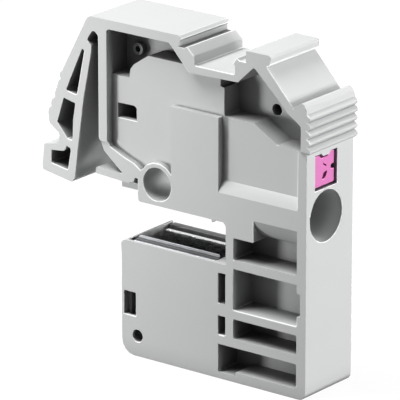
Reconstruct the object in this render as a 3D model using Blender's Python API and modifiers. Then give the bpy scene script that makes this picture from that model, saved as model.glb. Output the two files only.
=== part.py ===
"""Push-in terminal block with a latch arm, a plug-on contact block and a release button.

The block is laid out on its front view: x runs from the tip of the latch hook to the wire side,
z runs up from the foot and depth runs back from the front rim. The finished block stands on its
foot with the origin under the middle of its box, +X towards the wire side and -Y to the front.
"""
import math

import bmesh
import bpy
from mathutils import Matrix, Vector

# Overall size, in metres
WIDTH = 0.0520
THICKNESS = 0.0122
HEIGHT = 0.0539

# Walls, steps and fits
CLEARANCE = 0.0003
COVER_THICKNESS = 0.0014
COVER_RIM = 0.0011
LOWER_STEP = 0.00025
PANEL_DEPTH = 0.0013
POCKET_DEPTH = 0.0051
FLOOR_WALL = 0.0011
PIN_WIDTH = 0.0016
PIN_LENGTH = 0.0026
STUB_HEIGHT = 0.0010

# Contact block and the gap over it
BLOCK_LEFT = 0.0155
BLOCK_HEIGHT = 0.0188
BLOCK_WALL = 0.0007
BLOCK_SIDE = 0.0010
GAP_HEIGHT = 0.00675
COLUMN_WIDTH = 0.0153

# Latch arm, foot and top rim
ARM_TOP_LEFT = 0.0094
RIM_LEFT = 0.01135
RIM_WALL = 0.00165
FOOT_LEFT = 0.0190
BOSS_FROM_LEFT = 0.02265
BOSS_BORE = 0.0054
BOSS_WALL = 0.0008
BOSS_OVER_GAP = 0.00352
GRIP_RISE = 0.0003
GRIP_COUNT = 5
RIDGE_RISE = 0.0007
RIDGE_PITCH = 0.00129
RIDGE_COUNT = 5
HEEL_REACH = 0.0056
HEEL_HEIGHT = 0.0012

# Column pockets, from the foot upwards
SIDE_WALL = 0.00175
POCKET_WALL = 0.00145
FOOT_WALL = 0.0017
SHELF = 0.00145
POCKET_LOW = 0.0040
POCKET_MIDDLE = 0.0032
POCKET_HIGH = 0.0067
SLOT_WIDTH = 0.00145
SLOT_UNDER_TOP = 0.00155
SLOT_WALL = 0.00005

# Wire entry and release button
WIRE_HEIGHT = 0.02865
WIRE_MOUTH = 0.0082
WIRE_BORE = 0.0066
FUNNEL_LENGTH = 0.0028
BUTTON_OVER_WIRE = 0.0073
BUTTON_WINDOW = 0.0056
BUTTON_LENGTH = 0.0098
BUTTON_TRAVEL = 0.0020
BUTTON_LUG = 0.0007
LUG_LENGTH = 0.0012

# Clamp and contact metal
CHAMBER_FROM_FACE = 0.0109
CHAMBER_WIDTH = 0.0071
CHAMBER_FRONT = 0.0024
CHAMBER_OVER_WIRE = 0.0101
BAR_THICKNESS = 0.0008
BAR_DEPTH = 0.0081
CAGE_THICKNESS = 0.0007
SPRING_THICKNESS = 0.0004
SPRING_WIDTH = 0.0046
SPRING_LOOP = 0.0012
LOOP_FROM_BORE = 0.0024
LEAF_THICKNESS = 0.0006
LEAF_FROM_SIDE = 0.0005
LEAF_LIP = 0.00025
LEAF_CORNER = 0.0020
LEAF_CORNER_RISE = 0.0026
LEAF_LEG = 0.0050
LEAF_BEND = 0.0005
LEAF_FOOT_BEND = 0.0010
FOLD_DROP = 0.0022
FOLD_RISE = 0.0050
CONTACT_SLOT = 0.0042
SPRING_GAP = 0.0021

# Measures that follow from those above
MM = 0.001
FACE = WIDTH - RIDGE_RISE
GAP_END = FACE - COLUMN_WIDTH
GAP_ROOF = BLOCK_HEIGHT + GAP_HEIGHT
SEAT_DEPTH = THICKNESS - COVER_THICKNESS - CLEARANCE
TUBE_RADIUS = SEAT_DEPTH / 2
POCKET_RIGHT = FACE - SIDE_WALL
POCKET_LEFT = GAP_END + POCKET_WALL
RECESS_LEFT = GAP_END - SLOT_WIDTH
RIM_INNER = RIM_LEFT + RIM_WALL
BOSS_HEIGHT = GAP_ROOF + BOSS_OVER_GAP
BOSS_RADIUS = BOSS_BORE / 2 + BOSS_WALL
BUTTON_HEIGHT = WIRE_HEIGHT + BUTTON_OVER_WIRE
BUTTON_SIDE = BUTTON_WINDOW - 2 * CLEARANCE
CHAMBER_RIGHT = FACE - CHAMBER_FROM_FACE
CHAMBER_LEFT = CHAMBER_RIGHT - CHAMBER_WIDTH
CHAMBER_FLOOR = WIRE_HEIGHT - WIRE_BORE / 2 - BAR_THICKNESS - CLEARANCE
CHAMBER_ROOF = WIRE_HEIGHT + CHAMBER_OVER_WIRE
CAGE_FLOOR = GAP_ROOF + COVER_RIM
REST_WALL = GAP_END + COVER_RIM
WELL_LEFT = BLOCK_LEFT + BLOCK_SIDE
WELL_RIGHT = RECESS_LEFT - FLOOR_WALL
WELL_FLOOR = 3.0 * MM
PASSAGE_FRONT = POCKET_DEPTH + FLOOR_WALL
LEAF_FACE = BAR_DEPTH - CONTACT_SLOT
LEAF_LEFT = WELL_LEFT + LEAF_FROM_SIDE
LEAF_RIGHT = WELL_RIGHT - CLEARANCE
CUT_MARGIN = 1.0 * MM

# How finely round stretches are drawn
ARC_STEP = math.radians(20)
ROUND_SIDES = 40

# Finishes: colour, roughness and metallic value
PLASTIC_GREY = ((0.60, 0.61, 0.61, 1.0), 0.42, 0.0)
COVER_GREY = ((0.63, 0.64, 0.64, 1.0), 0.45, 0.0)
BUTTON_PINK = ((0.90, 0.24, 0.66, 1.0), 0.35, 0.0)
SPRING_STEEL = ((0.55, 0.55, 0.56, 1.0), 0.28, 1.0)
CAGE_STEEL = ((0.48, 0.48, 0.50, 1.0), 0.36, 1.0)
TINNED_COPPER = ((0.80, 0.80, 0.81, 1.0), 0.25, 1.0)
LEAF_METAL = ((0.74, 0.75, 0.76, 1.0), 0.30, 1.0)

for leftover in list(bpy.data.objects):
    bpy.data.objects.remove(leftover, do_unlink=True)


def new_collection(name):
    """Make a collection in the scene."""
    collection = bpy.data.collections.new(name)
    bpy.context.scene.collection.children.link(collection)
    return collection


PARTS = new_collection("terminal_block")
CUTTERS = new_collection("cutters")


def finish(name, look):
    """Make a material from a colour, a roughness and a metallic value."""
    colour, roughness, metallic = look
    material = bpy.data.materials.new(name)
    material.use_nodes = True
    shader = material.node_tree.nodes["Principled BSDF"]
    shader.inputs["Base Color"].default_value = colour
    shader.inputs["Roughness"].default_value = roughness
    shader.inputs["Metallic"].default_value = metallic
    material.diffuse_color = colour
    return material


def rounded(corners):
    """Turn (x, z, radius) corners into points, with an arc at each corner that has a radius."""
    points = []
    for index, (x, z, radius) in enumerate(corners):
        corner = Vector((x, z))
        if radius == 0:
            points.append(corner)
            continue
        before = Vector(corners[index - 1][:2]) - corner
        after = Vector(corners[(index + 1) % len(corners)][:2]) - corner
        half = before.angle(after) / 2
        reach = min(radius / math.tan(half), 0.45 * before.length, 0.45 * after.length)
        inward = (before.normalized() + after.normalized()).normalized()
        centre = corner + inward * (reach / math.cos(half))
        spoke = corner + before.normalized() * reach - centre
        last = corner + after.normalized() * reach - centre
        sweep = math.copysign(math.pi - 2 * half, spoke.cross(last))
        steps = max(2, round(abs(sweep) / ARC_STEP))
        for step in range(steps + 1):
            points.append(centre + Matrix.Rotation(sweep * step / steps, 2) @ spoke)
    return points


def circle(x, z, radius, sides=ROUND_SIDES):
    """Corners of a circle on the front view."""
    turns = [math.tau * step / sides for step in range(sides)]
    return [(x + radius * math.cos(turn), z + radius * math.sin(turn), 0) for turn in turns]


def box_outline(left, right, bottom, top, radius=0):
    """Corners of a rectangle on the front view."""
    return [(left, bottom, radius), (right, bottom, radius), (right, top, radius), (left, top, radius)]


def from_corner(x, z, rows):
    """Corners given in millimetres from one place on the front view."""
    return [(x + dx * MM, z + dz * MM, radius * MM) for dx, dz, radius in rows]


def mesh_of(carrier, collection):
    """Turn a curve object into a mesh object with its caps welded, and remove the curve."""
    bpy.context.view_layer.update()
    mesh = bpy.data.meshes.new_from_object(carrier)
    weld(mesh)
    solid = bpy.data.objects.new(carrier.name, mesh)
    solid.matrix_world = carrier.matrix_world
    name = carrier.name
    bpy.data.objects.remove(carrier, do_unlink=True)
    solid.name = name
    mesh.name = name
    collection.objects.link(solid)
    return solid


def weld(mesh):
    """Merge the doubled points of a mesh."""
    shape = bmesh.new()
    shape.from_mesh(mesh)
    bmesh.ops.remove_doubles(shape, verts=shape.verts, dist=1e-6)
    bmesh.ops.recalc_face_normals(shape, faces=shape.faces)
    shape.to_mesh(mesh)
    shape.free()


def flat_outline(name, rings, half_thickness):
    """Make a filled 2D curve from rings of corners; the inner rings are holes."""
    curve = bpy.data.curves.new(name, "CURVE")
    curve.dimensions = "2D"
    curve.fill_mode = "BOTH"
    curve.extrude = half_thickness
    for ring in rings:
        points = rounded(ring)
        spline = curve.splines.new("POLY")
        spline.points.add(len(points) - 1)
        for knot, (x, z) in zip(spline.points, points):
            knot.co = (x, z, 0, 1)
        spline.use_cyclic_u = True
    return bpy.data.objects.new(name, curve)


def slab(name, outline, near, far, holes=(), collection=None):
    """Make a plate of the front view's outline, from one depth to another."""
    carrier = flat_outline(name, (outline, *holes), (far - near) / 2)
    carrier.rotation_euler = (math.pi / 2, 0, 0)
    carrier.location = (-WIDTH / 2, (near + far - THICKNESS) / 2, 0)
    (collection or PARTS).objects.link(carrier)
    return mesh_of(carrier, collection or PARTS)


def cross_slab(name, outline, left, right, collection=None):
    """Make a bar along x from an outline of (depth, height) corners."""
    carrier = flat_outline(name, (outline,), (right - left) / 2)
    carrier.rotation_euler = (math.pi / 2, 0, math.pi / 2)
    carrier.location = ((left + right - WIDTH) / 2, -THICKNESS / 2, 0)
    (collection or PARTS).objects.link(carrier)
    return mesh_of(carrier, collection or PARTS)


def plan_slab(name, outline, low, high, collection=None):
    """Make an upright block from an outline of (x, depth) corners."""
    carrier = flat_outline(name, (outline,), (high - low) / 2)
    carrier.location = (-WIDTH / 2, -THICKNESS / 2, (low + high) / 2)
    (collection or PARTS).objects.link(carrier)
    return mesh_of(carrier, collection or PARTS)


def turned(name, profile, x, depth, z, collection):
    """Turn a (radius, height) profile, given from top to bottom, and lay its axis along x."""
    mesh = bpy.data.meshes.new(name)
    mesh.from_pydata([(radius, 0, height) for radius, height in profile],
                     [(step, step + 1) for step in range(len(profile) - 1)], [])
    solid = bpy.data.objects.new(name, mesh)
    screw = solid.modifiers.new("turn", "SCREW")
    screw.axis = "Z"
    screw.steps = ROUND_SIDES
    screw.render_steps = ROUND_SIDES
    screw.use_merge_vertices = True
    screw.merge_threshold = 1e-6
    solid.rotation_euler = (0, math.pi / 2, 0)
    solid.location = (x - WIDTH / 2, depth - THICKNESS / 2, z)
    collection.objects.link(solid)
    return solid


def strip(centre_line, thickness):
    """Outline of a bent strip: both sides of its centre line, with square ends."""
    points = [Vector(point) for point in centre_line]
    near_side = []
    far_side = []
    for index, point in enumerate(points):
        before = points[max(index - 1, 0)]
        after = points[min(index + 1, len(points) - 1)]
        incoming = (point - before).normalized() if index else (after - point).normalized()
        outgoing = (after - point).normalized() if point != after else incoming
        mitre = (incoming + outgoing).normalized()
        across = Vector((-mitre.y, mitre.x)) * (thickness / 2 / max(mitre.dot(incoming), 0.5))
        near_side.append((*(point + across), 0))
        far_side.append((*(point - across), 0))
    return near_side + far_side[::-1]


def arc(x, z, radius, start, end, step=ARC_STEP):
    """Points on an arc, with its angles in degrees."""
    count = max(2, round(abs(math.radians(end - start)) / step))
    angles = [math.radians(start + (end - start) * index / count) for index in range(count + 1)]
    return [(x + radius * math.cos(angle), z + radius * math.sin(angle)) for angle in angles]


def combine(body, tool, operation):
    """Add an exact Boolean to a body and put its tool among the cutters."""
    modifier = body.modifiers.new(tool.name, "BOOLEAN")
    modifier.operation = operation
    modifier.solver = "EXACT"
    modifier.object = tool
    tool.hide_render = True
    tool.display_type = "WIRE"
    for collection in list(tool.users_collection):
        collection.objects.unlink(tool)
    CUTTERS.objects.link(tool)


def cut(body, tool):
    """Cut a tool out of a body."""
    combine(body, tool, "DIFFERENCE")


def join(body, tool):
    """Join a shape to a body."""
    combine(body, tool, "UNION")


def move_origin(solid, place):
    """Put the origin of a solid on a place in the world and leave its shape where it is."""
    solid.data.transform(Matrix.Translation(-(solid.matrix_world.inverted() @ place)))
    solid.location = place


def dress(solid, name, look):
    """Give a solid its material and its shading."""
    solid.data.materials.append(finish(name, look))
    solid.data.shade_smooth()
    solid.data.set_sharp_from_angle(angle=math.radians(30))


def upper(rise):
    """Height of a place on the neck, from its height in mm over the gap on the drawn front view."""
    drawn_rise = 28.1
    return GAP_ROOF + rise / drawn_rise * (HEIGHT - GAP_ROOF)


def neck(x, rows):
    """Corners on the neck: mm across from x, mm of drawn height over the gap, radius in mm."""
    return [(x + dx * MM, upper(rise), radius * MM) for dx, rise, radius in rows]


def block_edge():
    """Edge of the contact block and of the gap over it."""
    return [(BLOCK_LEFT, 0, 2.5 * MM), (BLOCK_LEFT, BLOCK_HEIGHT, 0.9 * MM),
            (GAP_END, BLOCK_HEIGHT, 0), (GAP_END, GAP_ROOF, 0.7 * MM)]


def foot_edge():
    """Edge of the foot over the gap, with its small nib, its heel and the barb that stops the arm."""
    nib = from_corner(GAP_END, GAP_ROOF, [(-2.1, 0, 0), (-2.7, -0.45, 0), (-2.9, 0.08, 0)])
    heel = neck(FOOT_LEFT, [(0, 0.1, 0.4), (-0.15, 1.7, 0), (-0.15, 3.7, 0.15), (-0.7, 3.7, 0),
                            (-0.95, 3.0, 0), (-2.0, 2.65, 0)])
    barb = neck(RIM_LEFT, [(-0.85, 3.0, 0.3), (-0.65, 4.05, 0.2), (4.55, 3.95, 0.12), (0.85, 6.9, 1.2)])
    return nib + heel + barb


def arm_edge():
    """Edge of the latch arm: down its inner side, round the hook and up its outer side."""
    inner = neck(RIM_LEFT, [(0, 9.0, 1.0), (0, 25.2, 0.7), (-0.95, 26.05, 0.7), (-2.25, 24.2, 0.4),
                            (-1.3, 23.5, 0.4), (-1.4, 22.2, 0), (-2.98, 14.5, 0), (-3.82, 8.7, 0),
                            (-4.25, 5.9, 0), (-4.85, 1.3, 0.3), (-5.45, 0.7, 0)])
    hook = neck(0, [(0.1, 1.65, 0.3), (0, 2.4, 0), (0.43, 5.9, 0.2), (3.3, 6.4, 0.2), (3.42, 7.7, 0),
                    (3.2, 8.35, 0), (1.45, 9.6, 0.5)])
    return inner + hook + finger_grips() + [(ARM_TOP_LEFT, HEIGHT, 1.2 * MM)]


def finger_grips():
    """Bumps on the outer side of the arm, square to its slope."""
    start = Vector((1.4 * MM, upper(10.7)))
    end = Vector((4.34 * MM, upper(18.7)))
    along = (end - start) / GRIP_COUNT
    outward = Vector((-along.y, along.x)).normalized() * GRIP_RISE
    rows = []
    for bump in range(GRIP_COUNT):
        for share, lift in ((0.0, 0.0), (0.25, 0.85), (0.5, 1.0), (0.75, 0.85)):
            rows.append((*(start + along * (bump + share) + outward * lift), 0))
    return rows + [(*end, 0)]


def top_edge():
    """Top edge from the rim over the marker channel to the far rim, with the channel's undercut lips."""
    near_lip = neck(FACE, [(-24.1, 28.1, 0.2), (-23.7, 27.55, 0), (-24.1, 27.15, 0), (-24.1, 26.3, 0),
                           (-23.1, 26.2, 0), (-22.6, 26.6, 0), (-21.25, 25.35, 0), (-21.1, 23.9, 0.2)])
    far_lip = neck(FACE, [(-13.55, 23.9, 0.2), (-13.55, 25.3, 0), (-13.95, 25.4, 0), (-13.1, 26.6, 0),
                          (-12.55, 26.2, 0), (-11.35, 26.2, 0), (-11.3, 28.0, 0.2), (-6.55, 28.0, 0.75),
                          (-6.8, 26.6, 0.3), (-7.6, 26.35, 0.2), (-2.55, 20.85, 0)])
    return near_lip + far_lip


def ridge_edge():
    """Ridge head and the rounded thumb ridges under it, down to the wire face."""
    head = neck(FACE, [(-0.75, 21.8, 0.5), (0, 21.1, 0.4)])
    top = upper(20.15)
    rows = []
    for ridge in range(RIDGE_COUNT):
        for share, lift in ((0.0, 0.2), (0.22, 0.75), (0.4, 0.97), (0.6, 0.97), (0.78, 0.75)):
            rows.append((FACE + RIDGE_RISE * lift, top - RIDGE_PITCH * (ridge + share), 0))
    rows.append((FACE + RIDGE_RISE * 0.2, top - RIDGE_PITCH * RIDGE_COUNT, 0))
    rows.append((FACE, top - RIDGE_PITCH * RIDGE_COUNT - 0.05 * MM, 0))
    widest = max(x for x, _, _ in rows)
    return head + [(WIDTH if x == widest else x, z, radius) for x, z, radius in rows]


def outer_edge():
    """Closed outer edge of the moulding."""
    return block_edge() + foot_edge() + arm_edge() + top_edge() + ridge_edge() + [(FACE, 0, 1.3 * MM)]


def arm_windows():
    """Three windows that leave the lattice of the latch arm."""
    tall = neck(0, [(8.2, 22.7, 0.3), (8.57, 22.4, 0.2), (7.04, 15.0, 0.3), (4.86, 15.4, 0.3)])
    middle = neck(0, [(4.4, 14.1, 0.2), (6.7, 13.6, 0.3), (6.25, 10.9, 0), (6.1, 7.5, 0.3), (5.1, 7.6, 0.3),
                      (3.05, 9.9, 0.4)])
    hook = neck(0, [(1.84, 5.1, 0.2), (4.3, 5.4, 0), (4.7, 5.8, 0), (4.9, 6.3, 0.1), (5.6, 6.1, 0.1),
                    (5.7, 5.7, 0), (5.1, 2.5, 0.3), (1.76, 3.05, 0.3)])
    return [tall, middle, hook]


def boss_arc():
    """Round the top of the boss, from its right side to its left."""
    return [(x, z, 0) for x, z in arc(BOSS_FROM_LEFT, BOSS_HEIGHT, BOSS_RADIUS, 38, 146)]


def recess_outline():
    """Edge of the shallow recess: top rim, far roof, side wall, wire tube, raised panel and lower rim."""
    roof = neck(FACE, [(-26.15, 26.6, 0.3), (-25.7, 26.2, 0), (-22.3, 22.6, 0.4), (-12.9, 22.8, 0.2),
                       (-9.8, 25.7, 0.4), (-3.2, 19.5, 0), (-1.0, 18.1, 0.4), (-1.0, 14.4, 0.3)])
    panel = [(POCKET_RIGHT, upper(13.9), 0.2 * MM), (POCKET_RIGHT, WIRE_HEIGHT, 0),
             (RECESS_LEFT, WIRE_HEIGHT, 0), (RECESS_LEFT, upper(16.5), 0.2 * MM),
             (BOSS_FROM_LEFT + 2.4 * MM, upper(16.5), 0.3 * MM)]
    lower = neck(RIM_INNER, [(6.4, 5.2, 0), (5.2, 6.0, 0), (3.2, 6.65, 0), (0.4, 7.85, 0.5)])
    corner = neck(RIM_INNER, [(0, 8.5, 0), (0, 26.6, 0.5)])
    return roof + panel + boss_arc() + lower + corner


def deep_pocket_outline():
    """Edge of the deep pocket under the top rim."""
    near = neck(RIM_INNER, [(0, 19.2, 0), (3.5, 19.2, 0.3), (3.7, 20.6, 0.5),
                            (4.4, 21.5, 0.4), (7.2, 23.35, 0.2)])
    far = neck(FACE, [(-22.96, 23.3, 0.2), (-25.7, 26.2, 0), (-26.15, 26.6, 0.3)])
    return near + far + neck(RIM_INNER, [(0, 26.6, 0.5)])


def cavity_outline():
    """Edge of the deep cavity under the far rim, with its small notch."""
    return neck(FACE, [(-16.4, 16.5, 0.4), (-10.8, 16.5, 0.3), (-6.3, 13.9, 0.3), (-1.8, 13.8, 0.2),
                       (-1.0, 14.4, 0.3), (-1.0, 18.1, 0.4), (-3.2, 19.5, 0), (-9.8, 25.7, 0.4),
                       (-12.9, 22.8, 0.2), (-16.1, 22.7, 0.2), (-17.1, 22.4, 0.1), (-17.1, 21.1, 0.1),
                       (-16.4, 21.0, 0.1)])


def lower_face_outline():
    """Area of the front face that lies a small step behind the rim."""
    right = WIDTH + CUT_MARGIN
    return [(BLOCK_LEFT - CUT_MARGIN, -CUT_MARGIN, 0), (right, -CUT_MARGIN, 0), (right, upper(14.2), 0),
            (POCKET_RIGHT - CUT_MARGIN, upper(14.2), 0), (POCKET_RIGHT - CUT_MARGIN, upper(16.8), 0),
            (BOSS_FROM_LEFT + 2.1 * MM, upper(16.8), 0), (BOSS_FROM_LEFT + 2.1 * MM, upper(8.5), 0),
            (RIM_LEFT - 1.15 * MM, upper(8.5), 0), (RIM_LEFT - 1.15 * MM, GAP_ROOF, 0),
            (BLOCK_LEFT - CUT_MARGIN, GAP_ROOF - CUT_MARGIN, 0)]


def tube(name):
    """Cylinder of the wire tube's outer wall, tangent to the front rim and to the cover's seat."""
    length = FACE - RECESS_LEFT + 0.5 * MM
    profile = [(0, 0), (TUBE_RADIUS, 0), (TUBE_RADIUS, -length), (0, -length)]
    return turned(name, profile, FACE + 0.2 * MM, SEAT_DEPTH / 2, WIRE_HEIGHT, CUTTERS)


def recess_cutter():
    """Shallow recess that leaves the wire tube standing."""
    cutter = slab("recess_cut", recess_outline(), -CUT_MARGIN, PANEL_DEPTH, collection=CUTTERS)
    cut(cutter, tube("recess_tube"))
    return cutter


def top_pocket():
    """Highest column pocket, whose ceiling is the wire tube."""
    floor = FOOT_WALL + POCKET_LOW + POCKET_MIDDLE + POCKET_HIGH + 3 * SHELF
    step = POCKET_LEFT + 3.85 * MM
    ceiling = WIRE_HEIGHT - TUBE_RADIUS + 0.1 * MM
    outline = [(POCKET_LEFT, floor, 0.2 * MM), (POCKET_RIGHT, floor, 0.2 * MM),
               (POCKET_RIGHT, WIRE_HEIGHT, 0), (step, WIRE_HEIGHT, 0), (step, ceiling, 0),
               (POCKET_LEFT, ceiling, 0.2 * MM)]
    cutter = slab("top_pocket_cut", outline, -CUT_MARGIN, POCKET_DEPTH, collection=CUTTERS)
    cut(cutter, tube("pocket_tube"))
    return cutter


def column_pockets():
    """Three lower column pockets with their side notch, and the two narrow slots beside them."""
    low = FOOT_WALL
    middle = low + POCKET_LOW + SHELF
    high = middle + POCKET_MIDDLE + SHELF
    deep = high + POCKET_HIGH
    step = POCKET_LEFT + 0.45 * MM
    foot = [(RECESS_LEFT, low - 0.6 * MM, 0.2 * MM), (step, low - 0.6 * MM, 0), (step, low, 0.1 * MM),
            (POCKET_RIGHT, low, 0.6 * MM), (POCKET_RIGHT, low + POCKET_LOW, 0.2 * MM),
            (RECESS_LEFT, low + POCKET_LOW, 0.2 * MM)]
    notched = [(POCKET_LEFT, high, 0.2 * MM), (POCKET_RIGHT, high, 0.1 * MM),
               (POCKET_RIGHT, high + 1.6 * MM, 0),
               (POCKET_RIGHT + 0.65 * MM, high + 1.6 * MM, 0.1 * MM),
               (POCKET_RIGHT + 0.65 * MM, deep - 1.4 * MM, 0.1 * MM), (POCKET_RIGHT, deep - 1.4 * MM, 0),
               (POCKET_RIGHT, deep, 0.1 * MM), (POCKET_LEFT, deep, 0.2 * MM)]
    plain = box_outline(POCKET_LEFT, POCKET_RIGHT, middle, middle + POCKET_MIDDLE, 0.3 * MM)
    slot_right = GAP_END - SLOT_WALL
    slots = [box_outline(RECESS_LEFT, slot_right, middle + 0.1 * MM, middle + POCKET_MIDDLE, 0.15 * MM),
             box_outline(RECESS_LEFT, slot_right, high + 0.55 * MM, BLOCK_HEIGHT - SLOT_UNDER_TOP, 0.15 * MM)]
    outlines = {"foot_pocket_cut": foot, "middle_pocket_cut": plain, "high_pocket_cut": notched,
                "low_slot_cut": slots[0], "high_slot_cut": slots[1]}
    return [slab(name, outline, -CUT_MARGIN, POCKET_DEPTH, collection=CUTTERS)
            for name, outline in outlines.items()]


def wire_bore():
    """Funnel and bore of the wire entry, from the wire face into the clamp chamber."""
    depth = FACE - CHAMBER_RIGHT + 0.5 * MM
    profile = [(0, CUT_MARGIN), (WIRE_MOUTH / 2, CUT_MARGIN), (WIRE_MOUTH / 2, -0.4 * MM),
               (WIRE_BORE / 2, -FUNNEL_LENGTH), (WIRE_BORE / 2, -depth), (0, -depth)]
    return turned("wire_bore_cut", profile, FACE, SEAT_DEPTH / 2, WIRE_HEIGHT, CUTTERS)


def window_depths():
    """Front and back of the button's square window, centred on the wire entry."""
    return SEAT_DEPTH / 2 - BUTTON_WINDOW / 2, SEAT_DEPTH / 2 + BUTTON_WINDOW / 2


def button_channel():
    """Square channel of the button, with the housing's tab left in its mouth and a groove for the lug."""
    near, far = window_depths()
    low = BUTTON_HEIGHT - BUTTON_WINDOW / 2
    high = BUTTON_HEIGHT + BUTTON_WINDOW / 2
    middle = (near + far) / 2
    outline = [(near, low, 0), (far, low, 0), (far, high, 0), (middle + 1.2 * MM, high, 0),
               (middle + 0.8 * MM, high - 0.5 * MM, 0), (middle - 0.8 * MM, high - 0.5 * MM, 0),
               (middle - 1.2 * MM, high, 0), (near, high, 0)]
    channel = cross_slab("button_channel_cut", outline, CHAMBER_RIGHT - 0.5 * MM, FACE + CUT_MARGIN, CUTTERS)
    groove = slab("lug_groove_cut",
                  box_outline(CHAMBER_RIGHT - 0.5 * MM, lug_right() + CLEARANCE,
                              BUTTON_HEIGHT - LUG_LENGTH, BUTTON_HEIGHT + LUG_LENGTH),
                  far - 0.5 * MM, far + BUTTON_LUG + CLEARANCE, collection=CUTTERS)
    return [channel, groove]


def lug_right():
    """Outer end of the lug that keeps the button in its channel."""
    return CHAMBER_RIGHT + CLEARANCE + BUTTON_TRAVEL + LUG_LENGTH


def chamber_cutters():
    """Hollows that open to the back: clamp chamber, contact well, bar passage and empty room."""
    back = SEAT_DEPTH + CUT_MARGIN
    clamp = [(CHAMBER_LEFT, CAGE_FLOOR, 0.4 * MM), (REST_WALL, CAGE_FLOOR, 0), (REST_WALL, CHAMBER_FLOOR, 0),
             (CHAMBER_RIGHT, CHAMBER_FLOOR, 0), (CHAMBER_RIGHT, CHAMBER_ROOF, 0.4 * MM),
             (CHAMBER_LEFT, CHAMBER_ROOF, 0.4 * MM)]
    well = box_outline(WELL_LEFT, WELL_RIGHT, WELL_FLOOR, BLOCK_HEIGHT + CUT_MARGIN)
    passage = [(WELL_RIGHT - 1.0 * MM, WELL_FLOOR, 0), (CHAMBER_RIGHT, WELL_FLOOR, 0.5 * MM),
               (CHAMBER_RIGHT, CHAMBER_FLOOR + 1.0 * MM, 0), (REST_WALL, CHAMBER_FLOOR + 1.0 * MM, 0),
               (REST_WALL, BLOCK_HEIGHT - 2.0 * MM, 0), (GAP_END, BLOCK_HEIGHT - 2.0 * MM, 0),
               (GAP_END - 0.5 * MM, BLOCK_HEIGHT + CUT_MARGIN, 0),
               (WELL_RIGHT - 1.0 * MM, BLOCK_HEIGHT + CUT_MARGIN, 0)]
    room = neck(RIM_INNER, [(0.9, 9.6, 0.4), (0.9, 18.0, 0.4), (17.5, 18.0, 0.4), (19.0, 9.6, 0.4)])
    return [slab("clamp_chamber_cut", clamp, CHAMBER_FRONT, back, collection=CUTTERS),
            slab("contact_well_cut", well, LOWER_STEP + BLOCK_WALL, back, collection=CUTTERS),
            slab("bar_passage_cut", passage, PASSAGE_FRONT, back, collection=CUTTERS),
            slab("empty_room_cut", room, PANEL_DEPTH + FLOOR_WALL, back, collection=CUTTERS)]


def cover_outline(inset, top_height):
    """Edge of the cover, or of its seat in the moulding with an inset of nothing."""
    rim = COVER_RIM + inset
    gap = GAP_ROOF + rim
    ledge = BLOCK_HEIGHT - 0.2 * MM - inset
    step = GAP_END - 0.5 * MM - inset
    low = FOOT_WALL - 0.6 * MM + inset
    block = [(WELL_LEFT + inset, low, 1.0 * MM), (WELL_LEFT + inset, top_height, 0), (step, top_height, 0),
             (step, ledge, 0), (GAP_END + rim, ledge, 0), (GAP_END + rim, gap, 0.3 * MM)]
    radius = BOSS_RADIUS + inset
    start = math.degrees(math.asin(max((gap - BOSS_HEIGHT) / radius, -0.99)))
    boss = [(x, z, 0) for x, z in arc(BOSS_FROM_LEFT, BOSS_HEIGHT, radius, start, 140)]
    left = [(RIM_INNER + inset, upper(9.2), 0.5 * MM), (RIM_INNER + inset, upper(26.3) - inset, 0.5 * MM)]
    rail = upper(22.2) - inset
    top = [(FACE - 26.2 * MM, upper(26.3) - inset, 0), (FACE - 22.3 * MM - inset, rail, 0.4 * MM),
           (FACE - 12.9 * MM + inset, rail, 0), (FACE - 9.8 * MM, upper(25.1) - inset, 0.4 * MM)]
    right = FACE - rim - 0.6 * MM
    return block + boss + left + top + [(right, upper(16.6), 0.4 * MM), (right, low, 0.8 * MM)]


def pin_places():
    """Places on the front view where the cover's pins enter the moulding."""
    return [(RIM_INNER + 8.0 * MM, upper(20.9)), (FACE - 7.0 * MM, upper(19.5)),
            (POCKET_RIGHT - 3.0 * MM, 4.0 * MM)]


def make_housing():
    """One grey moulding: outline with lattice windows, then its steps, pockets, bores and hollows."""
    housing = slab("housing", outer_edge(), 0, THICKNESS, holes=arm_windows())
    heel_low = GAP_ROOF + 0.65 * MM
    heel = box_outline(FOOT_LEFT - HEEL_REACH, FOOT_LEFT + 0.6 * MM, heel_low, heel_low + HEEL_HEIGHT)
    join(housing, slab("heel_lug", heel, THICKNESS / 4, THICKNESS * 0.66))
    cut(housing, slab("lower_face_cut", lower_face_outline(), -CUT_MARGIN, LOWER_STEP))
    cut(housing, recess_cutter())
    cut(housing, slab("deep_pocket_cut", deep_pocket_outline(), -CUT_MARGIN, POCKET_DEPTH))
    cut(housing, slab("cavity_cut", cavity_outline(), -CUT_MARGIN, POCKET_DEPTH))
    stub_x = RIM_INNER + 2.9 * MM
    stub_z = upper(23.0)
    join(housing, slab("pocket_stub", circle(stub_x, stub_z, 1.0 * MM, 20), POCKET_DEPTH - STUB_HEIGHT,
                       POCKET_DEPTH + 0.3 * MM, holes=[circle(stub_x, stub_z, 0.5 * MM, 12)]))
    cut(housing, top_pocket())
    for pocket in column_pockets():
        cut(housing, pocket)
    seat = cover_outline(0, BLOCK_HEIGHT + CUT_MARGIN)
    cut(housing, slab("cover_seat_cut", seat, SEAT_DEPTH, THICKNESS + CUT_MARGIN))
    for chamber in chamber_cutters():
        cut(housing, chamber)
    for channel in button_channel():
        cut(housing, channel)
    cut(housing, wire_bore())
    cut(housing, slab("boss_bore_cut", circle(BOSS_FROM_LEFT, BOSS_HEIGHT, BOSS_BORE / 2),
                      -CUT_MARGIN, THICKNESS + CUT_MARGIN))
    add_small_openings(housing)
    dress(housing, "grey_plastic", PLASTIC_GREY)
    return housing


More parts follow.
